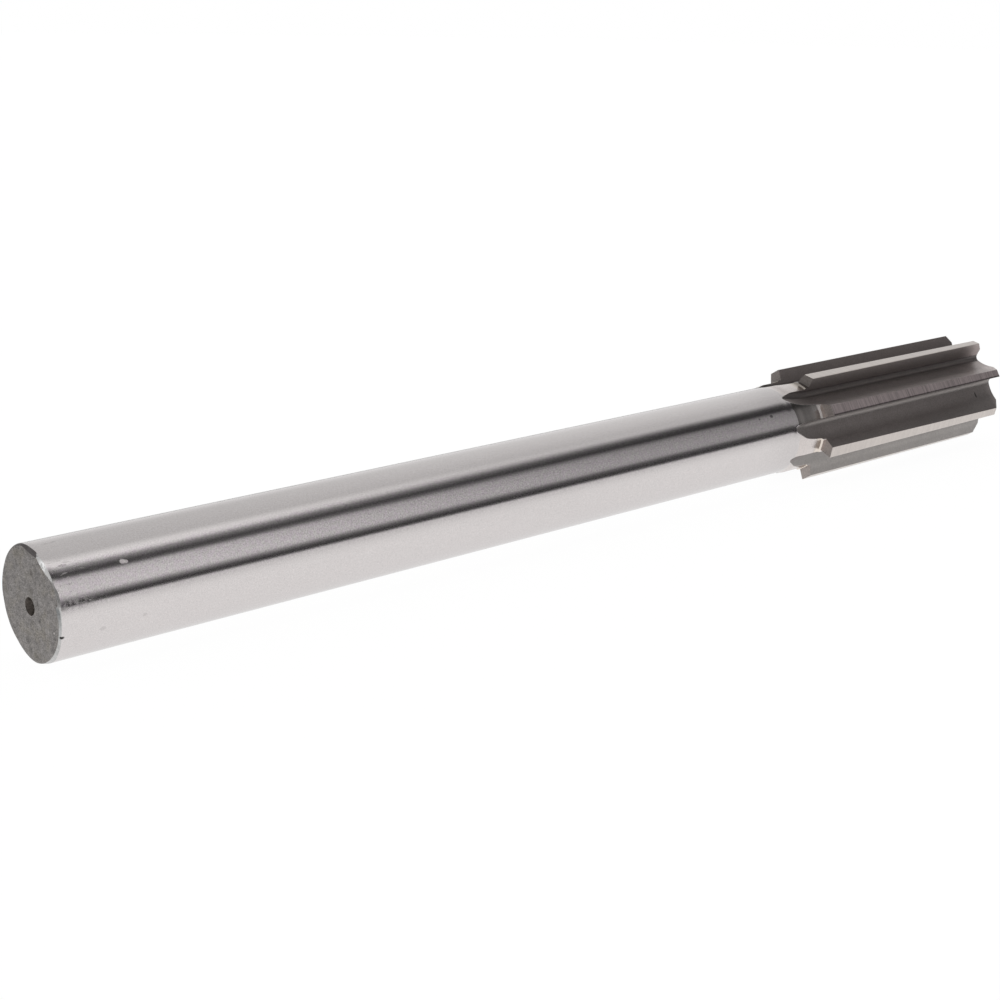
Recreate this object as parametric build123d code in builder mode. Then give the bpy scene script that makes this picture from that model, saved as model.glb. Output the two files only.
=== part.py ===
from build123d import *
import math
import os

# Straight-shank machine reamer, right-hand cutting, with straight flutes.
# It is turned and fluted standing on its shank end, with its axis on +Z, and is
# then laid down along +X as it comes to rest on a flat surface. Millimetres.

# Stations along the axis, measured from the shank's end face
overall_length = 252.0
collar_start = 177.1
head_start = 185.2

# Turned body
shank_diameter = 19.0
shank_end_chamfer = 0.5
collar_rise = 0.3
collar_ramp_length = 1.0
ring_rise = 0.25
ring_width = 1.4
ring_cove_radius = 0.8

# Cutting head
tooth_count = 8
cutting_diameter = 24.8
margin_width = 0.25
land_width = 2.3
land_relief_angle = 12.0
lead_length = 1.85
lead_relief_angle = 7.0

# Flutes, as the milling cutter leaves them
core_diameter = 16.4
floor_width = 2.44
root_radius = 1.0
floor_flat = 0.05
flute_slope_angle = 0.3
cutter_diameter = 90.0
cutter_overrun = 0.9

# Centre holes that the body is turned and ground between
centre_angle = 60.0
shank_centre_mouth = 3.0
shank_centre_drill = 1.6
shank_centre_depth = 3.6
tip_centre_mouth = 5.0
tip_centre_drill = 2.5
tip_centre_depth = 6.0

# Radii, stations and angles that follow from the sizes above
shank_radius = shank_diameter / 2
collar_radius = shank_radius + collar_rise
ring_radius = collar_radius + ring_rise
cutting_radius = cutting_diameter / 2
core_radius = core_diameter / 2
cutter_radius = cutter_diameter / 2
collar_full_start = collar_start + collar_ramp_length
ring_start = head_start - ring_width
lead_start = overall_length - lead_length
cutter_stop = head_start + cutter_overrun
tooth_pitch = 360 / tooth_count
cove_arc = math.degrees(math.acos(1 - ring_rise / ring_cove_radius))
cove_start = ring_start - ring_cove_radius * math.sin(math.radians(cove_arc))

# How far the cutting shapes reach past the metal that they remove
overcut = 3.0

# Section of one land, on the tooth whose cutting edge lies on +X: a narrow
# round margin, then a flat that falls away to the heel
margin_arc = math.degrees(margin_width / cutting_radius)
margin_end = Vector(cutting_radius, 0).rotate(Axis.Z, -margin_arc)
land_fall = Vector(0, -1).rotate(Axis.Z, -margin_arc - land_relief_angle)
heel = margin_end + land_fall * (land_width - margin_width)
land_end = heel + land_fall * overcut

# Section of the flute ahead of that tooth: its floor, and the tooth back that
# climbs from the floor to the next tooth's heel. The root fillet and the back's
# hollow leave a narrow flat between them.
next_heel = heel.rotate(Axis.Z, tooth_pitch)
floor_end = Vector(core_radius, floor_width)
back_climb = (next_heel - floor_end).normalized()
back_end = next_heel + back_climb * overcut
back_turn = math.atan2(back_climb.X, back_climb.Y)
tooth_back_radius = (floor_width - root_radius - floor_flat) / math.tan(back_turn / 2)
flute_mouth = cutting_radius + overcut

# Turned blank: shank, collar, ring and head, with a centre hole at each end
with BuildPart() as reamer:
    with BuildSketch(Plane.XZ):
        with BuildLine():
            Polyline(
                (collar_radius, cove_start),
                (collar_radius, collar_full_start),
                (shank_radius, collar_start),
                (shank_radius, shank_end_chamfer),
                (shank_radius - shank_end_chamfer, 0),
                (0, 0),
                (0, overall_length),
                (cutting_radius - lead_length, overall_length),
                (cutting_radius, lead_start),
                (cutting_radius, head_start),
                (ring_radius, head_start),
                (ring_radius, ring_start),
            )
            JernArc((collar_radius, cove_start), (0, 1), ring_cove_radius, -cove_arc)
        make_face()
    revolve(axis=Axis.Z)

    with Locations(Plane(reamer.faces().sort_by(Axis.Z).first)):
        CounterSinkHole(
            shank_centre_drill / 2, shank_centre_mouth / 2, shank_centre_depth, centre_angle
        )
    with Locations(Plane(reamer.faces().sort_by(Axis.Z).last)):
        CounterSinkHole(tip_centre_drill / 2, tip_centre_mouth / 2, tip_centre_depth, centre_angle)

# One flute: a radial rake face, a root fillet and the hollow of the tooth back.
# It leaves the tip a little deeper than it starts, and lifts out through the
# collar and the shank along the milling cutter's own arc.
flute_slope = math.radians(flute_slope_angle)
flute_plane = Plane(
    origin=(0, 0, cutter_stop),
    x_dir=(math.cos(flute_slope), 0, math.sin(flute_slope)),
    z_dir=(-math.sin(flute_slope), 0, math.cos(flute_slope)),
)
cutter_centre = flute_plane.from_local_coords((core_radius + cutter_radius, 0, 0))
cutter_exit_arc = 30.0
with BuildPart() as flute:
    with BuildSketch(flute_plane) as flute_section:
        with BuildLine():
            FilletPolyline(
                (flute_mouth, 0),
                (core_radius, 0),
                (core_radius, floor_end.Y),
                (back_end.X, back_end.Y),
                radius=[root_radius, tooth_back_radius],
            )
            Polyline((back_end.X, back_end.Y), (flute_mouth, back_end.Y), (flute_mouth, 0))
        make_face()
    extrude(amount=overall_length - cutter_stop + overcut)
    revolve(
        flute_section.sketch,
        axis=Axis(cutter_centre, (0, -1, 0)),
        revolution_arc=cutter_exit_arc,
    )

# Relief of one land behind its margin, over the whole head
with BuildPart() as land_relief:
    with BuildSketch(Plane.XY.offset(head_start - ring_width / 2)):
        with BuildLine():
            Polyline(
                (margin_end.X, margin_end.Y),
                (land_end.X, land_end.Y),
                (flute_mouth, land_end.Y),
                (flute_mouth, margin_end.Y),
                close=True,
            )
        make_face()
    extrude(amount=overall_length - head_start + overcut)

# Relief of one tooth's lead, which falls away behind its slanted cutting edge
lead_edge = Vector(-1, 0, 1).normalized()
lead_edge_length = lead_length * math.sqrt(2)
lead_fall = Vector(0, -1, 0).rotate(Axis((0, 0, 0), lead_edge), -lead_relief_angle)
lead_plane = Plane(
    origin=(cutting_radius, 0, lead_start),
    x_dir=lead_edge,
    z_dir=lead_edge.cross(lead_fall),
)
with BuildPart() as lead_relief:
    with BuildSketch(lead_plane):
        with Locations((-overcut, 0)):
            Rectangle(
                lead_edge_length + 2 * overcut,
                land_width + overcut / 2,
                align=(Align.MIN, Align.MIN),
            )
    extrude(amount=overcut)

with reamer:
    for cut in (flute, land_relief, lead_relief):
        with PolarLocations(0, tooth_count):
            add(cut.part, mode=Mode.SUBTRACT)

# At rest the reamer lies on one tooth's heel and on the cutting edge of the
# tooth before it, both at the back of the head, and on its shank end's edge
cut_before = Vector(cutting_radius, 0).rotate(Axis.Z, -tooth_pitch)
support = heel - cut_before
down = Vector(support.Y, -support.X).normalized()
roll = math.atan2(down.Y, down.X) + math.pi
tilt = math.atan2(heel.dot(down) - shank_radius, head_start - shank_end_chamfer)
lying = Plane(
    origin=(0, 0, 0),
    x_dir=(-math.cos(roll) * math.sin(tilt), math.sin(roll), math.cos(roll) * math.cos(tilt)),
    z_dir=(math.cos(tilt), 0, math.sin(tilt)),
)
with BuildPart() as lying_reamer:
    with Locations(lying):
        add(reamer.part)

# The origin is the middle of its footprint, on the surface that it lies on
footprint = lying_reamer.part.bounding_box()
with BuildPart() as resting_reamer:
    with Locations((-footprint.center().X, -footprint.center().Y, -footprint.min.Z)):
        add(lying_reamer.part)
resting_reamer.part.label = "reamer"

os.makedirs("parts", exist_ok=True)
export_step(resting_reamer.part, "parts/reamer.step")
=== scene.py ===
import math

import bpy
import numpy as np
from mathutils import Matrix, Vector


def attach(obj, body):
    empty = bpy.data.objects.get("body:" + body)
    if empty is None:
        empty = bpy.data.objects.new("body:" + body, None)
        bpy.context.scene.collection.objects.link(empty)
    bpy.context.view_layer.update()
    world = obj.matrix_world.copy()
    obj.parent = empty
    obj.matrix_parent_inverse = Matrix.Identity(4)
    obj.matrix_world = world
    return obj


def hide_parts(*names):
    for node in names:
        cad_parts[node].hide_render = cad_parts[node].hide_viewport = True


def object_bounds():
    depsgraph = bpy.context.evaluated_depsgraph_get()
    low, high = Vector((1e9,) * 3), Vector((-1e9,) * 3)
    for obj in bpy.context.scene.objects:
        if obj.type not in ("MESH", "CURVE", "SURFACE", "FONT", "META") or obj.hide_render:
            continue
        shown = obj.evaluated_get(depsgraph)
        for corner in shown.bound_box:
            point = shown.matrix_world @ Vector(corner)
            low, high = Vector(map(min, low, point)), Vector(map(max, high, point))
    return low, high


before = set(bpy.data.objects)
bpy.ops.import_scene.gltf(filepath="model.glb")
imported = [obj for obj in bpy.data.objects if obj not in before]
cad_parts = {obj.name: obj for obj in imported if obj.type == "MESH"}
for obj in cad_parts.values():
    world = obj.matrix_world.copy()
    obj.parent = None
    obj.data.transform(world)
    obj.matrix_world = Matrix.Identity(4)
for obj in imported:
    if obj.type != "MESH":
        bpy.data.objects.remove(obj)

cad_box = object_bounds()

# Stations along the tool from its shank end face, in millimetres
OVERALL = 252.0
PLAIN_STATION = 100.0
PLAIN_SHANK_END = 170.0
GROUND_END = 176.45
RAMP_START = 176.7
RAMP_END = 179.0
HEAD_START = 185.2
RING_START = HEAD_START - 1.05
CUTTER_STOP = HEAD_START + 0.9
LEAD_START = OVERALL - 1.85

# Turned body in millimetres
SHANK_R = 9.5
SHANK_END_CHAMFER = 0.5
TURNED_R = SHANK_R - 0.01
COLLAR_R = SHANK_R + 0.3
RING_RISE = 0.25
RING_R = COLLAR_R + RING_RISE
COVE_R = 0.8
EDGE_BREAK = 0.02

# How much the collar's ramp eases in and out, as a share of its rise
RAMP_EASING = 1 / 14

# Teeth and flutes, in millimetres where no angle is meant
TEETH = 8
PITCH = math.tau / TEETH
CUT_R = 12.4
MARGIN = 0.25
LAND = 2.3
LAND_RELIEF = math.radians(12.0)
LEAD_RELIEF = math.radians(7.0)
CORE_R = 8.2
FLOOR_WIDTH = 3.1
FLOOR_FLAT = 0.05
ROOT_R = 1.1
FLUTE_SLOPE = math.radians(0.3)
CUTTER_R = 50.0

# The flutes open towards the tip: how far the tooth back is moved at each end of the head
WIDEN_BACK = -0.25
WIDEN_TIP = 0.3

# Centre holes: radius and depth of each ring, and how far the shank's hole lies off
# the axis along the tool, across it and up
SHANK_HOLE = [(0.001, 3.6), (0.8, 3.6), (0.8, 1.25), (0.84, 1.18), (1.4, 0.12)]
SHANK_HOLE_MOUTH = 1.47
HOLE_SHIFT = np.array([0.0, -0.17, -0.27])
TIP_FACE_R = 7.2
TIP_HOLE_MOUTH = 2.56
TIP_HOLE = [(2.44, 0.1), (1.29, 2.1), (1.25, 2.2), (1.25, 6.0), (0.001, 6.0)]

# The hand-broken edge of the shank end, against the angle in degrees from the top
# towards -Y: how wide the end face reaches in shank radii, and the station where
# the shank's wall starts. The face itself lies just behind the tool's end.
FACE = 0.003
FACE_EDGE = [
    (-180, 0.955), (-160, 0.905), (-148, 0.88), (-100, 0.88), (-88, 0.9), (-60, 0.912),
    (-44, 0.945), (-30, 0.965), (-9, 0.972), (-4, 0.95), (3, 0.912), (12, 0.9), (19, 0.915),
    (22, 0.925), (25, 0.9), (33, 0.88), (43, 0.888), (50, 0.935), (55, 0.98), (76, 0.975),
    (80, 0.885), (95, 0.943), (119, 0.971), (160, 0.977), (172, 0.97), (180, 0.955),
]
WALL_START = [
    (-180, 0.7), (-20, 0.5), (-5, 0.25), (8, 0.14), (18, 0.2), (24, 0.08), (58, 0.1),
    (65, 0.38), (74, 0.42), (84, 0.25), (105, 0.22), (118, 0.42), (131, 0.5), (147, 0.95),
    (160, 0.95), (180, 0.7),
]

# How finely the section is divided along each surface of one tooth, and how far the
# flute's section runs past the cutting edge and past the next heel
RAKE_COLUMNS = 8
ROOT_COLUMNS = 13
HOLLOW_COLUMNS = 13
BACK_COLUMNS = 12
LAND_COLUMNS = 26
MARGIN_COLUMNS = 5
PAST_EDGE = 1.2
PAST_HEEL = 1.6

# Rows of points along the tool: stations on the plain shank, the steps between rows
# further on, where the head's fine rows end and its even rows start, and the rows
# before and along the lead, counted from its start
SHANK_STATIONS = (1.3, 2, 3, 5, 8, 14, 22, 35, 50, 70, 90, 110, 130, 150, 165, 173.9)
FINE_STEP = 0.12
COLLAR_STEP = 0.17
HEAD_STEP = 4.5
FINE_HEAD_END = CUTTER_STOP + 0.5
EVEN_HEAD_START = CUTTER_STOP + 1.0
BEFORE_LEAD = (-0.55, -0.2, -0.09, -0.03)
ALONG_LEAD = (0.03, 0.1, 0.19, 0.35, 0.6, 0.9, 1.25, 1.55)

# Rows where the flutes start in a point: how many, how far the first one is from the
# point, which grows with the square of their number, and where the fine rows start
POINT_ROWS = 12
POINT_STEP = 0.0055
BEHIND_POINT = 0.93

# Gaps between the evenly spaced rows and an edge or a ramp beside them, and how far
# from an edge the rows lie that round it
SMALL_GAP = 0.03
GAP_BEFORE_EDGE = 0.05
GAP_AFTER_EDGE = 0.17
GAP_AFTER_RAMP = 0.15
END_EDGE_ROW = 0.03
WALL_EDGE_ROW = 0.06
RING_EDGE_BEFORE = 0.03
RING_EDGE_BELOW = 0.035
RING_EDGE_AFTER = 0.05

# The stations between which the cutter leaves the shank and how near that is found,
# how near a crossing is found, the smallest face kept, as twice its area in square
# metres, and the angle from which an edge counts as sharp
RUNOUT_WITHIN = (174.0, 178.0)
RUNOUT_CLOSE = 1e-4
CLOSE_ENOUGH = 1e-6
SMALLEST_AREA = 2e-13
SHARP_ANGLE = math.radians(32)

# The finishes, in the order of the mesh's materials
SURFACES = [
    "shank", "chamfer", "end", "hole", "collar", "ring", "shoulder", "land", "rake", "root",
    "back", "lead", "tip",
]


def turned(x, y, angle):
    """A point turned about the tool's axis."""
    cosine, sine = math.cos(angle), math.sin(angle)
    return x * cosine - y * sine, x * sine + y * cosine


# One land, seen along the axis in its own tooth's frame: x runs out along the
# rake face, y points ahead of the tooth
MARGIN_END = turned(CUT_R, 0.0, -MARGIN / CUT_R)
LAND_FALL = turned(0.0, -1.0, -MARGIN / CUT_R - LAND_RELIEF)
HEEL = [place + fall * (LAND - MARGIN) for place, fall in zip(MARGIN_END, LAND_FALL)]
NEXT_HEEL = turned(*HEEL, PITCH)

# The plane of a tooth's lead, which falls away behind its slanted edge: its normal
# leans outwards and forwards by the same amount, and a little behind the edge
LEAD_OUT = math.cos(LEAD_RELIEF) / math.sqrt(2)
LEAD_BEHIND = -math.sin(LEAD_RELIEF)


def lie_of_tool():
    """The turn of the first cutting edge from the top towards -Y, the rise of the axis, and the
    centre of the shank end. The tool rests on one heel, on the cutting edge before it and on the
    edge of its shank end, and the CAD box says where that is."""
    edge_before = turned(CUT_R, 0.0, -PITCH)
    support = (HEEL[0] - edge_before[0], HEEL[1] - edge_before[1])
    reach = math.hypot(*support)
    down = (support[1] / reach, -support[0] / reach)
    first_edge = -math.atan2(down[1], down[0])
    heel_depth = HEEL[0] * down[0] + HEEL[1] * down[1]
    tilt = math.atan2(heel_depth - SHANK_R, HEAD_START - SHANK_END_CHAMFER)
    top_edge = CUT_R * math.cos(first_edge - PITCH)
    box_back, box_top = cad_box[0][0] * 1000, cad_box[1][2] * 1000
    end_x = box_back + (SHANK_R - SHANK_END_CHAMFER) * math.sin(tilt)
    end_z = box_top - LEAD_START * math.sin(tilt) - top_edge * math.cos(tilt)
    return first_edge, tilt, np.array([end_x, 0.0, end_z])


FIRST_EDGE, TILT, END = lie_of_tool()


def flute_section():
    """The milled section: down the rake face, round the root, up the hollow tooth back. Also the
    point where the hollow ends."""
    climb = np.array([NEXT_HEEL[0] - CORE_R, NEXT_HEEL[1] - FLOOR_WIDTH])
    climb /= np.linalg.norm(climb)
    turn = math.atan2(climb[0], climb[1])
    hollow = (FLOOR_WIDTH - ROOT_R - FLOOR_FLAT) / math.tan(turn / 2)
    points = [(x, 0.0) for x in np.linspace(CUT_R + PAST_EDGE, CORE_R + ROOT_R, RAKE_COLUMNS + 1)]
    for a in np.linspace(1.5 * math.pi, math.pi, ROOT_COLUMNS + 1)[1:]:
        points.append((CORE_R + ROOT_R + ROOT_R * math.cos(a), ROOT_R + ROOT_R * math.sin(a)))
    side = ROOT_R + FLOOR_FLAT
    for a in np.linspace(math.pi, math.pi - turn, HOLLOW_COLUMNS + 1):
        points.append((CORE_R + hollow + hollow * math.cos(a), side + hollow * math.sin(a)))
    foot = np.array(points[-1])
    length = np.linalg.norm(np.array(NEXT_HEEL) - foot) + PAST_HEEL
    for k in range(1, BACK_COLUMNS + 1):
        points.append(tuple(foot + climb * length * k / BACK_COLUMNS))
    return np.array(points), foot


SECTION, FOOT = flute_section()
BACK_SHARE = np.clip((SECTION[:, 1] - FOOT[1]) / (NEXT_HEEL[1] - FOOT[1]), 0.0, 1.3)
FLUTE_COLUMNS = len(SECTION)


def flute_at(station):
    """The flute's section at this station, which lifts out behind the head along the cutter's arc."""
    depth = CORE_R + CUTTER_R
    from_cutter = depth - SECTION[:, 0]
    x = SECTION[:, 0].copy()
    for _ in range(4):
        z = (station - CUTTER_STOP - x * math.sin(FLUTE_SLOPE)) / math.cos(FLUTE_SLOPE)
        x = depth - np.sqrt(np.maximum(from_cutter**2 - np.minimum(z, 0.0) ** 2, 0.0))
    out = x * math.cos(FLUTE_SLOPE) - z * math.sin(FLUTE_SLOPE)
    along_head = (station - HEAD_START) / (OVERALL - HEAD_START)
    opening = WIDEN_BACK + (WIDEN_TIP - WIDEN_BACK) * along_head
    return np.stack([out, SECTION[:, 1] + opening * BACK_SHARE], 1)


def beyond(kind, station, radius, x, y):
    """How far a point of the flute's section lies outside the turned blank or the ground tooth."""
    reach = np.hypot(x, y)
    if kind == "turned":
        return reach - radius
    lead = max(0.0, station - LEAD_START)
    out, ahead = turned(x, y, -PITCH)
    land = (out - MARGIN_END[0]) * -LAND_FALL[1] + (ahead - MARGIN_END[1]) * LAND_FALL[0]
    front = (out - CUT_R + station - LEAD_START) * LEAD_OUT + ahead * LEAD_BEHIND
    return np.maximum.reduce([reach - (CUT_R - lead), land, front / math.hypot(LEAD_OUT, LEAD_BEHIND)])


def land_x(station, y):
    """How far out the surface of a ground tooth lies at this station, for each y."""
    margin = np.sqrt(CUT_R**2 - y**2)
    relief = MARGIN_END[0] + (y - MARGIN_END[1]) * LAND_FALL[0] / LAND_FALL[1]
    lead = CUT_R - (station - LEAD_START) - LEAD_BEHIND / LEAD_OUT * y
    return np.minimum(np.minimum(margin, relief), lead)


def at(points, place):
    """The point at this place along a line of points; 1.5 is halfway from the second to the third."""
    start = min(max(int(math.floor(place)), 0), len(points) - 2)
    return points[start] + (points[start + 1] - points[start]) * (place - start)


def crossing(kind, station, radius, points, lower):
    """Where the flute's section enters and leaves the metal, as places along its points."""
    outside = beyond(kind, station, radius, points[:, 0], points[:, 1]) + lower
    inside = np.nonzero(outside < 0)[0]
    if not len(inside):
        return None
    ends = []
    for before, after in ((inside[0] - 1, inside[0]), (inside[-1], inside[-1] + 1)):
        low, high = float(before), float(after)
        gap_low, gap_high = outside[before], outside[after]
        for _ in range(6):
            place = low + (high - low) * gap_low / (gap_low - gap_high)
            gap = float(beyond(kind, station, radius, *at(points, place))) + lower
            if abs(gap) < CLOSE_ENOUGH:
                break
            if (gap > 0) == (gap_low > 0):
                low, gap_low = place, gap
            else:
                high, gap_high = place, gap
        ends.append(place)
    return ends


def arc_points(radius, turns):
    """Points on a circle round the axis."""
    return np.stack([radius * np.cos(turns), radius * np.sin(turns)], 1)


def plain_pitch(points, radius):
    """One pitch of a turned ring that no flute has reached: the flute's points lie together on it."""
    lowest = int(np.argmin(np.hypot(points[:, 0], points[:, 1])))
    angle = math.atan2(points[lowest, 1], points[lowest, 0])
    flute = arc_points(radius, np.full(FLUTE_COLUMNS, angle))
    return np.concatenate([flute, arc_points(radius, np.linspace(angle, angle + PITCH, LAND_COLUMNS))])


def pitch_row(kind, station, radius, lower=0.0):
    """One pitch of the section at this station, in the tooth's frame: the flute, then the land."""
    points = flute_at(station)
    outer = None
    if kind == "ground" or station >= PLAIN_SHANK_END:
        outer = crossing(kind, station, radius, points, lower)
    if outer is None:
        return plain_pitch(points, radius)
    inner = crossing(kind, station, radius, points, lower + EDGE_BREAK)
    if inner is None:
        middle = 0.5 * (outer[0] + outer[1])
        inner = [middle, middle]
    places = np.clip(np.arange(FLUTE_COLUMNS), inner[0], inner[1])
    flute = np.array([at(points, place) for place in places])
    first, last = at(points, outer[1]), at(points, outer[0])
    start = math.atan2(first[1], first[0]) - PITCH
    end = math.atan2(last[1], last[0])
    reach = math.hypot(*first)
    if kind == "turned":
        step = min(EDGE_BREAK / reach, 0.3 * (end - start))
        land = arc_points(radius, np.linspace(start + step, end - step, LAND_COLUMNS))
    else:
        low = math.sin(start) * reach + EDGE_BREAK
        relief = np.linspace(low, MARGIN_END[1], LAND_COLUMNS - MARGIN_COLUMNS)[:-1]
        margin = np.linspace(MARGIN_END[1], -EDGE_BREAK, MARGIN_COLUMNS + 1)
        y = np.concatenate([relief, margin])
        land = np.stack([land_x(station, y) - lower, y], 1)
    land = np.stack(turned(land[:, 0], land[:, 1], PITCH), 1)
    return np.concatenate([flute, land])


def whole_row(pitch, station):
    """One pitch repeated round the tool, as points in the tool's frame: along, across, up."""
    parts = []
    for k in range(TEETH):
        x, y = turned(pitch[:, 0], pitch[:, 1], FIRST_EDGE + k * PITCH)
        parts.append(np.stack([np.full_like(x, station), -y, x], 1))
    return np.concatenate(parts)


PLAIN_ROW = whole_row(pitch_row("turned", PLAIN_STATION, 1.0), 0.0)
ROW_ANGLES = np.arctan2(-PLAIN_ROW[:, 1], PLAIN_ROW[:, 2])


def round_row(radius, station):
    """A plain turned ring; its radius and station are one number each, or one for each column."""
    row = PLAIN_ROW.copy()
    row[:, 0] = station
    row[:, 1] *= radius
    row[:, 2] *= radius
    return row


def turned_row(station, radius, zone):
    """A row of the turned body where the flutes run out, with the zone that follows it."""
    return whole_row(pitch_row("turned", station, radius), station), zone


def ground_row(station, zone, lower=0.0):
    """A row of the ground head, with the zone that follows it."""
    return whole_row(pitch_row("ground", station, 0.0, lower), station), zone


def runout_start():
    """The station at which the flutes' cutter leaves the shank."""
    low, high = RUNOUT_WITHIN
    while high - low > RUNOUT_CLOSE:
        middle = 0.5 * (low + high)
        if crossing("turned", middle, SHANK_R, flute_at(middle), 0.0) is None:
            low = middle
        else:
            high = middle
    return high


def along_stops(stops):
    """The value at every column's angle of a list of stops in degrees."""
    return np.interp(np.degrees(ROW_ANGLES), *zip(*stops))


def end_rows():
    """The shank's centre hole from its bottom, the end face and the hand-broken edge."""
    face = SHANK_R * along_stops(FACE_EDGE)
    wall = along_stops(WALL_START)
    rows = [(round_row(radius, depth) + HOLE_SHIFT, "hole") for radius, depth in SHANK_HOLE]
    for share in (0.0, 0.15, 0.4, 0.7, 0.92):
        radius = SHANK_HOLE_MOUTH + (face - SHANK_HOLE_MOUTH) * share
        rows.append((round_row(radius, FACE) + HOLE_SHIFT * (1 - share), "end"))
    rows.append((round_row(face - END_EDGE_ROW, FACE), "chamfer"))
    rows.append((round_row(face + EDGE_BREAK, FACE + EDGE_BREAK), "chamfer"))
    for share in (0.25, 0.5, 0.75):
        rows.append((round_row(face + (SHANK_R - face) * share, wall * share), "chamfer"))
    rows.append((round_row(SHANK_R - EDGE_BREAK, wall), "shank"))
    rows.append((round_row(SHANK_R, wall + WALL_EDGE_ROW), "shank"))
    return rows


def shank_rows():
    """The ground shank up to where its finish ends, with close rows where the flutes start."""
    start = runout_start()
    rows = [(round_row(SHANK_R, station), "shank") for station in SHANK_STATIONS]
    for k in range(1, POINT_ROWS + 1):
        rows.append(turned_row(start + POINT_STEP * k**2, SHANK_R, "shank"))
    for station in np.arange(start + BEHIND_POINT, GROUND_END - SMALL_GAP, FINE_STEP):
        rows.append(turned_row(station, SHANK_R, "shank"))
    return rows


def ramp_height(share):
    """How far the collar has risen from the shank at this share of its ramp, easing in and out."""
    return share - math.sin(math.tau * share) * RAMP_EASING


def collar_rows():
    """The ramp, the collar, the cove and the ring."""
    rows = [turned_row(GROUND_END, TURNED_R, "ramp")]
    for station in np.arange(GROUND_END + FINE_STEP, RAMP_START - SMALL_GAP, FINE_STEP):
        rows.append(turned_row(station, TURNED_R, "ramp"))
    for share in np.linspace(0.0, 1.0, 13):
        radius = TURNED_R + (COLLAR_R - TURNED_R) * ramp_height(share)
        rows.append(turned_row(RAMP_START + (RAMP_END - RAMP_START) * share, radius, "ramp"))
    arc = math.acos(1 - RING_RISE / COVE_R)
    cove_start = RING_START - COVE_R * math.sin(arc)
    for station in np.arange(RAMP_END + GAP_AFTER_RAMP, cove_start - GAP_BEFORE_EDGE, COLLAR_STEP):
        rows.append(turned_row(station, COLLAR_R, "collar"))
    rows.append(turned_row(cove_start, COLLAR_R, "cove"))
    for a in np.linspace(0, arc, 9)[1:-1]:
        radius = COLLAR_R + COVE_R * (1 - math.cos(a))
        rows.append(turned_row(cove_start + COVE_R * math.sin(a), radius, "cove"))
    rows.append(turned_row(RING_START - RING_EDGE_BEFORE, RING_R - RING_EDGE_BELOW, "cove"))
    rows.append(turned_row(RING_START + RING_EDGE_AFTER, RING_R, "ring"))
    for station in np.arange(RING_START + GAP_AFTER_EDGE, HEAD_START - GAP_BEFORE_EDGE, FINE_STEP):
        rows.append(turned_row(station, RING_R, "ring"))
    rows.append(turned_row(HEAD_START, RING_R, "shoulder"))
    return rows


def head_rows():
    """The shoulders, the teeth and their lead, up to the rim of the tip."""
    rows = [ground_row(HEAD_START, "shoulder", EDGE_BREAK), ground_row(HEAD_START + EDGE_BREAK, "head")]
    for station in np.arange(HEAD_START + GAP_AFTER_EDGE, FINE_HEAD_END, FINE_STEP):
        rows.append(ground_row(station, "head"))
    for station in np.arange(EVEN_HEAD_START, LEAD_START + BEFORE_LEAD[0], HEAD_STEP):
        rows.append(ground_row(station, "head"))
    for step in BEFORE_LEAD:
        rows.append(ground_row(LEAD_START + step, "head"))
    for step in ALONG_LEAD:
        rows.append(ground_row(LEAD_START + step, "lead"))
    rows.append(ground_row(OVERALL - EDGE_BREAK, "lead"))
    rows.append(ground_row(OVERALL, "tip", EDGE_BREAK))
    return rows


def tip_rows(rim):
    """The tip's end face and its centre hole, drawn in from the rim of the tip."""
    reach = np.hypot(rim[:, 1], rim[:, 2])
    rings = [(TIP_FACE_R, 0.0, "tip"), (TIP_HOLE_MOUTH, 0.0, "hole")]
    rings += [(radius, depth, "hole") for radius, depth in TIP_HOLE]
    rows = []
    for radius, depth, zone in rings:
        share = np.minimum(radius, reach) / reach
        row = np.stack([np.full_like(reach, OVERALL - depth), rim[:, 1] * share, rim[:, 2] * share], 1)
        rows.append((row, zone))
    return rows


def surface_of(zone, column):
    """The finish of the face in this zone between this column and the next."""
    if zone in ("end", "hole", "chamfer", "tip", "shoulder"):
        return zone
    if column < RAKE_COLUMNS:
        return "rake"
    if column < RAKE_COLUMNS + ROOT_COLUMNS:
        return "root"
    if column < FLUTE_COLUMNS - 1:
        return "back"
    return {"head": "land", "ramp": "collar", "cove": "collar"}.get(zone, zone)


def area_of(corners):
    """Twice the area of a flat face."""
    area = np.zeros(3)
    for k in range(1, len(corners) - 1):
        area += np.cross(corners[k] - corners[0], corners[k + 1] - corners[0])
    return np.linalg.norm(area)


def build_surface():
    """The tool's points in its own frame in metres, its faces and the finish of each face."""
    rows = end_rows() + shank_rows() + collar_rows() + head_rows()
    rows += tip_rows(rows[-1][0])
    count = len(rows[0][0])
    points = np.concatenate([row for row, _ in rows]) * 0.001
    _, first, merged = np.unique(
        np.round(points * 1e6).astype(np.int64), axis=0, return_index=True, return_inverse=True
    )
    merged = merged.reshape(len(rows), count)
    points = points[first]
    faces, slots = [], []
    for number, (_, zone) in enumerate(rows[:-1]):
        row, next_row = merged[number], merged[number + 1]
        for column in range(count):
            after = (column + 1) % count
            loop = [row[column], next_row[column], next_row[after], row[after]]
            loop = [point for place, point in enumerate(loop) if point != loop[place - 1]]
            if len(loop) < 3 or len(set(loop)) < len(loop) or area_of(points[loop]) < SMALLEST_AREA:
                continue
            faces.append(loop)
            slots.append(SURFACES.index(surface_of(zone, column % (count // TEETH))))
    return points, faces, slots


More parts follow.
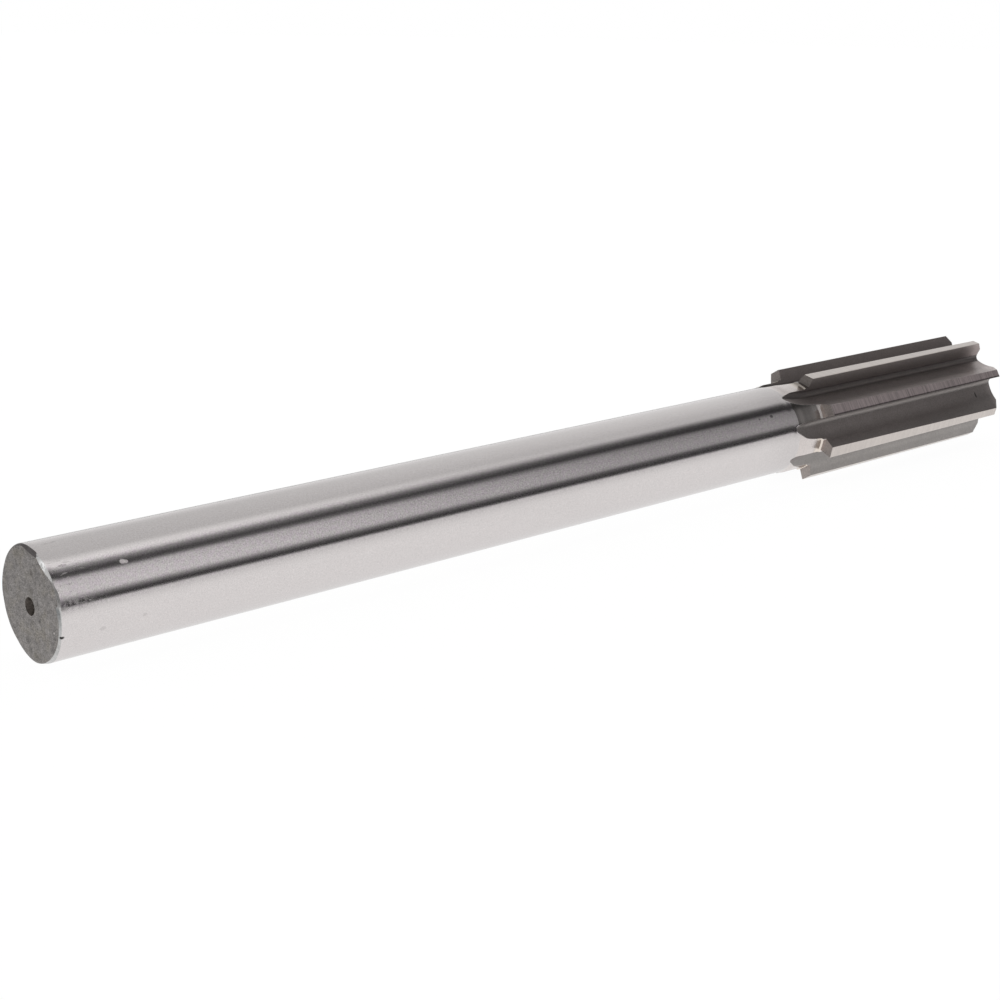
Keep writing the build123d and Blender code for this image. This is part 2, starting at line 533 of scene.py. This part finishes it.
def build_tool():
    """The tool as one mesh, laid down as it rests and kept inside the CAD box."""
    points, faces, slots = build_surface()
    cosine, sine = math.cos(TILT), math.sin(TILT)
    lie = np.array([[cosine, 0, -sine], [0, 1, 0], [sine, 0, cosine]])
    lying = points @ lie.T + END * 0.001
    lying = np.clip(lying, *(np.array(v) for v in cad_box))
    mesh = bpy.data.meshes.new("reamer_body")
    mesh.from_pydata(lying.tolist(), [], faces)
    mesh.polygons.foreach_set("material_index", slots)
    mesh.polygons.foreach_set("use_smooth", [True] * len(faces))
    mesh.update()
    mesh.set_sharp_from_angle(angle=SHARP_ANGLE)
    tool = bpy.data.objects.new("reamer_body", mesh)
    bpy.context.collection.objects.link(tool)
    weighted = tool.modifiers.new("even shading", "WEIGHTED_NORMAL")
    weighted.keep_sharp = True
    weighted.weight = 100
    return tool


class Value:
    """A number that varies over a surface, so that shader maths reads as plain expressions."""

    def __init__(self, shader, socket):
        self.shader, self.socket = shader, socket

    def __add__(self, other):
        return self.shader.calculate("ADD", self, other)

    def __radd__(self, other):
        return self.shader.calculate("ADD", other, self)

    def __sub__(self, other):
        return self.shader.calculate("SUBTRACT", self, other)

    def __rsub__(self, other):
        return self.shader.calculate("SUBTRACT", other, self)

    def __mul__(self, other):
        return self.shader.calculate("MULTIPLY", self, other)

    def __rmul__(self, other):
        return self.shader.calculate("MULTIPLY", other, self)

    def __truediv__(self, other):
        return self.shader.calculate("DIVIDE", self, other)

    def __pow__(self, other):
        return self.shader.calculate("POWER", self, other)

    def step(self, low, high):
        """0 below low, 1 above high, smooth between."""
        sockets = {"Value": self, "From Min": low, "From Max": high}
        return self.shader.value("MapRange", {"interpolation_type": "SMOOTHSTEP"}, sockets)

    def band(self, low, high, soft):
        """1 between low and high, 0 outside, smooth over soft on both sides of each."""
        return self.step(low - soft, low + soft) * (1.0 - self.step(high - soft, high + soft))


def set_stops(elements, stops):
    """Fills a colour ramp with (place, brightness), and white at both of its ends."""
    elements[0].position = 0.0
    elements[0].color = (1, 1, 1, 1)
    elements[1].position = 1.0
    elements[1].color = (1, 1, 1, 1)
    for place, brightness in stops:
        elements.new(place).color = (brightness, brightness, brightness, 1)


class Shader:
    """A node tree under construction."""

    def __init__(self, tree):
        self.tree = tree
        tree.nodes.clear()

    def node(self, kind, settings=None, sockets=None):
        """Adds a node: its settings first, then the values or links of its sockets by name or place."""
        node = self.tree.nodes.new("ShaderNode" + kind)
        for name, setting in (settings or {}).items():
            if name == "stops":
                set_stops(node.color_ramp.elements, setting)
            else:
                setattr(node, name, setting)
        for key, value in (sockets or {}).items():
            if isinstance(value, Value):
                value = value.socket
            if isinstance(value, bpy.types.NodeSocket):
                self.tree.links.new(value, node.inputs[key])
            else:
                node.inputs[key].default_value = value
        return node

    def value(self, kind, settings=None, sockets=None):
        """The number that a node gives first."""
        return Value(self, self.node(kind, settings, sockets).outputs[0])

    def calculate(self, operation, *values):
        """The result of a Math node."""
        return self.value("Math", {"operation": operation}, dict(enumerate(values)))

    def split(self, vector):
        """The three numbers of a vector."""
        return [Value(self, part) for part in self.node("SeparateXYZ", sockets={"Vector": vector}).outputs]

    def blend(self, share, a, b):
        """Colour a where the share is 0, colour b where it is 1."""
        a, b = ((*colour, 1.0) if isinstance(colour, tuple) else colour for colour in (a, b))
        return self.node("Mix", {"data_type": "RGBA"}, {0: share, 6: a, 7: b}).outputs[2]

    def scaled(self, colour, by):
        """The colour times a number."""
        return self.node("VectorMath", {"operation": "SCALE"}, {0: colour, "Scale": by}).outputs[0]


class ToolShader(Shader):
    """A shader that knows its place on the tool, in millimetres from the centre of the shank end."""

    def __init__(self, tree):
        super().__init__(tree)
        where = self.node("TexCoord").outputs["Object"]
        lie = {"Location": tuple(END * 0.001), "Rotation": (0, -TILT, 0), "Scale": (0.001,) * 3}
        lying = self.node("Mapping", {"vector_type": "TEXTURE"}, {"Vector": where, **lie})
        self.position = lying.outputs[0]
        self.along, self.across, self.up = self.split(self.position)
        self.radius = (self.across * self.across + self.up * self.up) ** 0.5
        # The flutes' floor keeps one value of this all along the head
        self.flute_radius = self.radius + (self.along - HEAD_START) * math.tan(FLUTE_SLOPE)
        # Degrees from the top towards -Y
        self.angle = self.calculate("ARCTAN2", self.across * -1.0, self.up) * (180 / math.pi)

    def noise(self, along, across, detail, rough, seed):
        """Noise from 0 to 1 with this many grains a millimetre along the tool and across it."""
        grains = {0: self.position, 1: (along, across, across)}
        place = self.node("VectorMath", {"operation": "MULTIPLY"}, grains).outputs[0]
        sockets = {"Vector": place, "W": seed, "Scale": 1.0, "Detail": detail, "Roughness": rough}
        return self.value("TexNoise", {"noise_dimensions": "4D"}, sockets)

    def spot(self, along, across, up, size, length=1.0):
        """1 at a point of the tool, falling to 0 at this size round it, longer along the tool by length."""
        a = (self.along - along) / (size * length)
        b = (self.across - across) / size
        c = (self.up - up) / size
        reach = (a * a + b * b + c * c) ** 0.5
        return 1.0 - reach.step(0.45, 1.0)


def tinted(colour, red, green, blue):
    """The colour with each of its parts times a number."""
    return colour[0] * red, colour[1] * green, colour[2] * blue


def steel(name, colour, rough, cloud, grain, bump, marks=None, edge_tint=1.0):
    """Bare steel: its colour and roughness, how far the colour varies in clouds and in fine grain,
    its bumps as (grains a millimetre along, across, height in millimetres), its marks, and how
    bright it gets where it is seen at a slant."""
    material = bpy.data.materials.new(name)
    material.use_nodes = True
    metal = ToolShader(material.node_tree)
    clouds = metal.noise(0.22, 0.3, 4.0, 0.6, 1.0) - 0.5
    fine = metal.noise(2.9, 2.9, 2.0, 0.7, 5.0) - 0.5
    level = 1.0 + clouds * cloud + fine * grain
    roughness = rough * (1.0 + (metal.noise(0.5, 0.7, 3.0, 0.6, 9.0) - 0.5) * 0.12)
    if marks:
        colour, level, roughness = marks(metal, colour, level, roughness)
    along, across, height = bump
    bumps = (metal.noise(along, across, 2.0, 0.55, 20.0) - 0.5) * height
    normal = metal.node("Bump", sockets={"Strength": 1.0, "Distance": 0.001, "Height": bumps}).outputs[0]
    bsdf = metal.node("BsdfPrincipled", sockets={
        "Base Color": metal.scaled(colour, level),
        "Metallic": 1.0,
        "Roughness": roughness,
        "Specular Tint": (edge_tint, edge_tint, edge_tint, 1),
        "Normal": normal,
    })
    metal.node("OutputMaterial", sockets={"Surface": bsdf.outputs[0]})
    return material


# The notch in the shank's end edge, painted dark as its shade: its point, its size and how long it is for
# that
NOTCH_IN_EDGE = (0.1, -8.95, -3.05, 0.33, 1.7)
NOTCH_IN_WALL = (0.3, -9.0, -3.05, 0.33, 1.8)

# Small marks on the shank: point, size and length as above, and change of brightness
SHANK_SPOTS = [
    ((12.2, -7.25, 6.13, 0.5, 1.2), 0.3),
    ((12.75, -7.35, 6.02, 0.4, 1.2), 0.3),
    ((2.6, -6.2, 7.2, 0.3, 3.0), 0.2),
    ((14.61, -9.15, -2.54, 0.45, 1.2), -0.1),
    ((7.33, -8.96, -3.16, 0.5, 1.4), -0.12),
    # The notch's dark in the wall is painted shade
    (NOTCH_IN_WALL, -0.93),
    ((164.64, -7.66, 5.61, 0.3, 1.0), -0.5),
    ((168.64, -7.63, 5.66, 0.45, 1.5), -0.6),
]

# Spots on the end face: place across and up, size, and change of brightness
END_SPOTS = [
    (-1.0, 2.4, 0.9, -0.25), (-1.3, 5.4, 0.7, -0.3), (-2.2, 3.9, 0.5, -0.25), (-7.3, -2.7, 0.3, 1.2),
    (-3.0, -1.9, 0.4, -0.4), (1.2, -6.0, 0.8, -0.3), (0.6, -7.6, 0.9, -0.2),
]

# The one dark scratch on a tooth back near the tip
BACK_SCRATCH = (245.07, -8.71, -0.27, 0.95, 0.4)

# Colours of the broken edge round the shank end, a painted dark reflection and a painted highlight among
# them
PAINTED_DARK_REFLECTION = (0.11, 0.1, 0.1)
PAINTED_HIGHLIGHT = (1.0, 1.0, 1.0)
DEBURRED = (0.38, 0.37, 0.365)
GREY = (0.26, 0.265, 0.265)
PALE_GREY = (0.56, 0.56, 0.56)


def shank_marks(metal, colour, level, rough):
    """Grain that shows most on the side, with the small marks of use."""
    side = metal.angle.band(39, 82, 5)
    grain = metal.noise(4.2, 4.2, 1.5, 0.6, 3.0) - 0.5
    hue = metal.noise(1.6, 1.6, 1.0, 0.5, 12.0).step(0.4, 0.62)
    colour = metal.blend(side * 0.6 * hue, colour, tinted(colour, 1.0, 0.93, 1.02))
    level = level * (1.0 + grain * (side * 0.55 + 0.33)) * (1.0 - metal.along.step(162, 176) * 0.08)
    for place, change in SHANK_SPOTS:
        spot = metal.spot(*place)
        level = level * (1.0 + spot * change)
        rough = rough + spot * (0.45 if change > 0 else 0.1)
    near_end = 1.0 - metal.along.step(2.0, 9.0)
    scratches = metal.noise(0.7, 3.2, 3.0, 0.6, 15.0).step(0.56, 0.68) * near_end
    scratches = scratches * metal.angle.band(26, 80, 8)
    smears = metal.noise(0.5, 2.4, 3.0, 0.6, 17.0).step(0.58, 0.7) * near_end * (1.0 - side)
    worn = near_end * metal.angle.band(70, 84, 4) * metal.noise(1.5, 1.5, 2.0, 0.6, 18.0).step(0.4, 0.6)
    upper = 1.0 - metal.angle.step(60, 80)
    return colour, level * (1.0 - smears * upper * 0.3), rough + scratches * 0.3 + worn * 0.15


def chamfer_marks(metal, colour, level, rough):
    """Painted dark reflection at the top of the broken edge, painted highlight beside it, plain where
    deburred.
    """
    mottle = metal.noise(1.6, 1.6, 2.0, 0.6, 51.0)
    # The dark band at the top is a painted dark reflection, the bright band beside it a painted highlight
    dark = (metal.angle + (mottle - 0.5) * 22).band(-170, 19.5, 2.0)
    bright = metal.angle.band(29, 39, 4) * mottle.step(0.35, 0.6)
    plain = metal.angle.band(54, 79, 1.5)
    grey = metal.angle.band(79, 107, 2) * (1.0 - metal.along.step(0.16, 0.21))
    colour = metal.blend(dark, colour, PAINTED_DARK_REFLECTION)
    colour = metal.blend(bright, colour, PAINTED_HIGHLIGHT)
    colour = metal.blend(plain, colour, DEBURRED)
    colour = metal.blend(grey, colour, metal.blend(metal.angle.step(84, 103), GREY, PALE_GREY))
    # The notch is painted dark, as its shade
    notch = metal.spot(*NOTCH_IN_EDGE)
    return colour, level * (1.0 - notch * 0.93), rough + dark * 0.2 + plain * 0.25 + grey * 0.2


def end_marks(metal, colour, level, rough):
    """Blotches, short strokes and a few spots on the plain end face."""
    blotches = metal.noise(0.5, 0.5, 3.0, 0.6, 61.0) - 0.5
    strokes = metal.noise(1.0, 1.3, 3.0, 0.65, 62.0) - 0.5
    speckle = metal.noise(4.2, 4.2, 2.0, 0.7, 63.0) - 0.5
    level = level * (1.0 + blotches * 0.9 + strokes * 1.4 + speckle * 2.6)
    for across, up, size, change in END_SPOTS:
        level = level * (1.0 + metal.spot(0.0, across, up, size) * change)
    brown = metal.noise(0.35, 0.35, 2.0, 0.6, 64.0).step(0.45, 0.7)
    colour = metal.blend(brown * 0.6, colour, tinted(colour, 1.0, 0.97, 0.86))
    return colour, level, rough


def collar_marks(metal, colour, level, rough):
    """Turning marks round the collar, with painted light and shade, and a brown painted shade in the cove.
    """
    turning = metal.noise(3.4, 0.02, 3.0, 0.7, 31.0) - 0.5
    side = metal.angle.band(40, 84, 3)
    above = 1.0 - metal.angle.step(38, 46)
    below = metal.angle.step(84, 95)
    ramp = metal.along.band(RAMP_START, RAMP_END, 0.3)
    cove = metal.along.step(181.4, 183.0)
    # Painted shade on the side, less towards the cove and more on the ramp
    painted_shade = side * (0.6 - metal.along.step(180.5, 183) * 0.25) + side * ramp * 0.13
    level = level * (1.0 + turning * (0.25 + side * 0.35)) * (1.0 - painted_shade)
    # Painted light on top of the ramp and below towards the ring, painted shade below in the cove
    bright_below = metal.along.step(182.2, 182.8) * 0.3 - cove * 0.14
    level = level * (1.0 + ramp * above * 0.05 + below * bright_below)
    # Painted shade on top before the ring
    level = level * (1.0 - above * metal.along.step(182.2, 183.7) * 0.45)
    # Brown painted shade from the cove to the ring, except on the side
    brown = metal.along.step(181.6, 182.8) * (1.0 - side)
    return metal.blend(brown, colour, tinted(colour, 1.0, 0.97, 0.9)), level, rough


def ring_marks(metal, colour, level, rough):
    """Painted shade where it faces up; bright round the side and below."""
    above = 1.0 - metal.angle.step(38, 46)
    return colour, level * (1.0 - above * 0.75), rough


def shoulder_marks(metal, colour, level, rough):
    """Painted shade: darker on the teeth near the top."""
    return colour, level * (0.68 + 0.32 * metal.angle.step(35, 60)), rough


def land_marks(metal, colour, level, rough):
    """Grinding lines across the lands, plainest where a land faces sideways; painted shade and a dark
    margin there.
    """
    lines = metal.noise(2.6, 0.1, 3.0, 0.65, 41.0) - 0.5
    side = metal.angle.band(48, 90, 4)
    # Painted shade on the side: a dark margin here and a darker, pinker land below
    margin = metal.radius.step(CUT_R - 0.028, CUT_R - 0.012)
    level = level * (1.0 + lines * (0.36 + side * 1.3)) * (1.0 - side * margin * 0.7)
    return metal.blend(side, colour, tinted(colour, 0.84, 0.78, 0.83)), level, rough


def rake_marks(metal, colour, level, rough):
    """Painted shade: darker towards the root and low down at the side; a painted highlight at the tip."""
    upper = metal.angle.band(0, 40, 8)
    # Painted shade darker towards the root, and painted light on the upper rakes
    level = level * (0.84 + 0.16 * metal.radius.step(10.5, 12.2)) * (1.0 + upper * 0.06)
    # Painted shade low down at the side
    low = metal.angle.band(55, 74, 4) * (1.0 - metal.flute_radius.step(9.3, 10.0))
    at_tip = metal.along.step(243, 251)
    level = level * (1.0 - low * (0.1 + metal.along.step(188, 215) * 0.4))
    # A painted highlight on the upper rakes at the tip, a little darker elsewhere there
    return colour, level * (1.0 + at_tip * (upper * 1.05 - 0.1)), rough


def root_marks(metal, colour, level, rough):
    """Painted light and shade in the flute's root, with a painted highlight stripe at the side."""
    side = metal.angle.step(50, 65)
    towards_tip = metal.along.step(188, 245)
    # Painted light deepest down and at the side, painted shade higher up the fillet
    level = level * (1.1 - 0.3 * metal.flute_radius.step(8.33, 8.6)) * (0.85 + 0.45 * side)
    # A painted highlight stripe at the side, and painted shade up the fillet towards the tip
    glint = metal.flute_radius.band(8.45, 8.8, 0.08) * side * (1.0 - metal.angle.step(78, 84))
    fillet = metal.flute_radius.step(8.8, 8.95) * side * towards_tip
    level = level * (1.0 + glint * 0.32) * (1.0 - fillet * 0.4)
    # Painted shade on the lower teeth towards the tip
    level = level * (1.0 - metal.angle.step(76, 80) * towards_tip * 0.1)
    # A painted tone at the side
    return metal.blend(side, colour, tinted(colour, 1.0, 1.03, 1.02)), level, rough


def back_marks(metal, colour, level, rough):
    """Painted light and shade: brighter towards the heel, greyer below the side; one dark scratch."""
    side = metal.angle.band(80, 124, 8)
    below = metal.angle.step(124, 132)
    to_heel = metal.flute_radius.step(9.0, 11.0)
    # Painted shade darker towards the root, painted light on the upper backs
    level = level * (0.92 + 0.28 * to_heel) * (1.0 + metal.angle.band(32, 72, 4) * 0.13)
    # Painted shade on the side, more towards the heel and the tip
    painted_shade = metal.flute_radius.step(9.5, 11.5) * 0.08 + metal.along.step(200, 246) * 0.1
    level = level * (1.0 - side * painted_shade)
    level = level * (1.0 - metal.spot(*BACK_SCRATCH) * 0.75)
    # Painted highlight on the side near the tip's edge
    level = level * (1.0 + side * metal.along.step(249.3, 251.8) * 0.5)
    # Painted light low on the backs below the side, painted shade higher up there
    level = level * (1.0 + below * (0.14 * (1.0 - metal.flute_radius.step(10.4, 11.4)) - 0.08))
    # Painted highlight on the upper backs at the tip
    level = level * (1.0 + metal.angle.band(35, 70, 5) * metal.along.step(246, 251) * 0.5)
    # A greyer painted tone below the side
    return metal.blend(below, colour, tinted(colour, 1.0, 1.05, 1.04)), level, rough


def build_finishes():
    """One material for each surface, as steel() lists its values."""
    return {
        "shank": steel(
            "ground_shank_steel", (0.673, 0.639, 0.634),
            0.15, 0.04, 0.02, (3.0, 3.0, 0.0012), shank_marks, 0.9,
        ),
        "chamfer": steel(
            "hand_broken_edge_steel", (0.52, 0.515, 0.51),
            0.3, 0.3, 0.9, (5.0, 2.0, 0.006), chamfer_marks,
        ),
        "end": steel(
            "sawn_end_face_steel", (0.275, 0.26, 0.252),
            0.6, 0.4, 0.6, (2.2, 2.2, 0.02), end_marks,
        ),
        "hole": steel(
            "drilled_hole_steel", (0.11, 0.095, 0.085),
            0.5, 0.8, 2.0, (2.0, 2.0, 0.03),
        ),
        "collar": steel(
            "turned_collar_steel", (0.66, 0.61, 0.59),
            0.22, 0.15, 0.3, (7.0, 0.1, 0.003), collar_marks,
        ),
        "ring": steel(
            "ground_ring_steel", (0.84, 0.77, 0.735),
            0.25, 0.1, 0.3, (8.0, 0.1, 0.003), ring_marks,
        ),
        "shoulder": steel(
            "turned_shoulder_steel", (0.45, 0.41, 0.39),
            0.6, 0.5, 1.0, (2.0, 4.0, 0.01), shoulder_marks,
        ),
        "land": steel(
            "ground_land_steel", (0.6, 0.55, 0.518),
            0.3, 0.12, 0.25, (6.0, 0.2, 0.003), land_marks,
        ),
        "rake": steel(
            "rake_face_steel", (0.315, 0.28, 0.272),
            0.6, 0.2, 0.55, (0.6, 6.0, 0.004), rake_marks, 0.0,
        ),
        # The root's darker colour is painted shade in the flute's root
        "root": steel(
            "flute_root_steel", (0.22, 0.196, 0.19),
            0.5, 0.3, 0.6, (0.5, 6.0, 0.004), root_marks,
        ),
        "back": steel(
            "milled_tooth_back_steel", (0.3, 0.268, 0.26),
            0.45, 0.3, 0.8, (0.5, 6.0, 0.004), back_marks,
        ),
        "lead": steel(
            "ground_lead_steel", (0.5, 0.47, 0.45),
            0.35, 0.15, 0.2, (3.0, 3.0, 0.004),
        ),
        "tip": steel(
            "turned_tip_steel", (0.4, 0.385, 0.375),
            0.4, 0.2, 0.3, (3.0, 3.0, 0.01),
        ),
    }


def paper_material():
    """Pale paper that looks white to the camera, keeps the tool's shadow and is dim in reflections."""
    material = bpy.data.materials.new("pale_paper")
    material.use_nodes = True
    shader = Shader(material.node_tree)
    ray = shader.node("LightPath").outputs
    glossy = Value(shader, ray["Is Glossy Ray"])
    seen = shader.calculate("MAXIMUM", ray["Is Camera Ray"], glossy)
    seen = shader.calculate("MAXIMUM", seen, ray["Is Transmission Ray"])
    # The reflected paper grows darker with its distance from the tool, in metres
    aside = shader.calculate("ABSOLUTE", shader.split(shader.node("TexCoord").outputs["Object"])[1])
    darkness = 0.03 + aside.step(0.02, 0.09) * 0.17 + aside.step(0.3, 0.75) * 0.7
    tone = shader.blend(glossy * darkness, (1.0, 1.0, 1.0), (0.0, 0.0, 0.0))
    paper = shader.node("BsdfDiffuse", sockets={"Color": (0.9, 0.9, 0.9, 1.0)})
    white = shader.node("Emission", sockets={"Color": tone, "Strength": 1.04})
    mix = shader.node("MixShader", sockets={0: seen * 0.93, 1: paper.outputs[0], 2: white.outputs[0]})
    shader.node("OutputMaterial", sockets={"Surface": mix.outputs[0]})
    return material


def build_floor():
    """The sheet of paper that the tool lies on, far wider than the picture."""
    size = 8.0
    corners = [(-size, -size, 0), (size, -size, 0), (size, size, 0), (-size, size, 0)]
    mesh = bpy.data.meshes.new("floor")
    mesh.from_pydata(corners, [], [(0, 1, 2, 3)])
    mesh.materials.append(paper_material())
    floor = bpy.data.objects.new("floor", mesh)
    bpy.context.collection.objects.link(floor)


# What stands round the tool, each as stops of (degrees from straight up towards -Y,
# brightness): first across the tool, then in the directions that lean towards its
# tip, where the lamp and the soft light are weaker. The table is the same in both.
TABLE = [(91, 0.9)]

WALL_BEHIND = [(-90, 1.0), (-60, 0.7), (-8, 0.63)]
LAMP_OVERHEAD = [(3, 1.0), (10, 1.0), (18, 0.3)]
GAP_ABOVE = [(28, 0.05), (35, 0.07)]
SOFT_LIGHT = [(41, 0.65), (55, 0.75), (71, 0.8)]
ROOM_IN_FRONT = [(76, 0.35), (82, 0.08), (90, 0.0)]

FAR_WALL_BEHIND = [(-90, 1.0), (-30, 0.77), (-8, 0.63)]
FAR_LAMP_OVERHEAD = [(3, 0.6), (10, 0.18)]
FAR_GAP_ABOVE = [(15, 0.05), (28, 0.02)]
FAR_SOFT_LIGHT = [(35, 0.28), (47, 0.31), (60, 0.37), (71, 0.35)]
FAR_ROOM_IN_FRONT = [(76, 0.09), (90, 0.0)]


def build_studio():
    """The light round the tool: a pale wall behind it, a lamp overhead, a long soft light over the
    front, and dark gaps between them. The camera sees plain white."""
    world = bpy.data.worlds.new("studio")
    bpy.context.scene.world = world
    world.use_nodes = True
    shader = Shader(world.node_tree)
    x, y, z = shader.split(shader.node("TexCoord").outputs["Generated"])
    lean = shader.calculate("ARCTAN2", y * -1.0, z) / math.tau + 0.5

    def strips(*groups):
        """The brightness by how far a direction leans from straight up towards -Y."""
        stops = [(degrees / 360 + 0.5, brightness) for group in groups for degrees, brightness in group]
        return shader.node("ValToRGB", {"stops": stops}, {"Fac": lean}).outputs[0]

    near = strips(WALL_BEHIND, LAMP_OVERHEAD, GAP_ABOVE, SOFT_LIGHT, ROOM_IN_FRONT, TABLE)
    far = strips(
        FAR_WALL_BEHIND, FAR_LAMP_OVERHEAD, FAR_GAP_ABOVE, FAR_SOFT_LIGHT, FAR_ROOM_IN_FRONT, TABLE
    )
    light = shader.blend(x.step(0.45, 0.78), near, far)
    camera = shader.node("LightPath").outputs["Is Camera Ray"]
    colour = shader.blend(camera, light, (1.0, 1.0, 1.0))
    background = shader.node("Background", sockets={"Color": colour, "Strength": 1.0})
    shader.node("OutputWorld", sockets={"Surface": background.outputs[0]})


# Where the camera stands in metres, how it is turned in degrees, and its lens and
# sensor in millimetres
CAMERA_PLACE = (-0.247086, -0.235068, 0.096545)
CAMERA_TURN = (74.8063, -1.0372, -42.6681)
CAMERA_LENS = 63.334
CAMERA_SENSOR = 36.0


def build_camera():
    """The camera that sees the tool as the photo shows it."""
    camera = bpy.data.cameras.new("camera")
    camera.lens = CAMERA_LENS
    camera.sensor_width = CAMERA_SENSOR
    camera.clip_start = 0.01
    camera.clip_end = 50.0
    holder = bpy.data.objects.new("camera", camera)
    bpy.context.collection.objects.link(holder)
    holder.location = CAMERA_PLACE
    holder.rotation_euler = [math.radians(a) for a in CAMERA_TURN]
    bpy.context.scene.camera = holder


bpy.context.scene.view_settings.view_transform = "Standard"
build_camera()
build_studio()
build_floor()
tool = build_tool()
finishes = build_finishes()
for surface in SURFACES:
    tool.data.materials.append(finishes[surface])
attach(tool, "root")
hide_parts("reamer")
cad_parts["reamer"].data.materials.clear()
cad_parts["reamer"].data.materials.append(finishes["shank"])
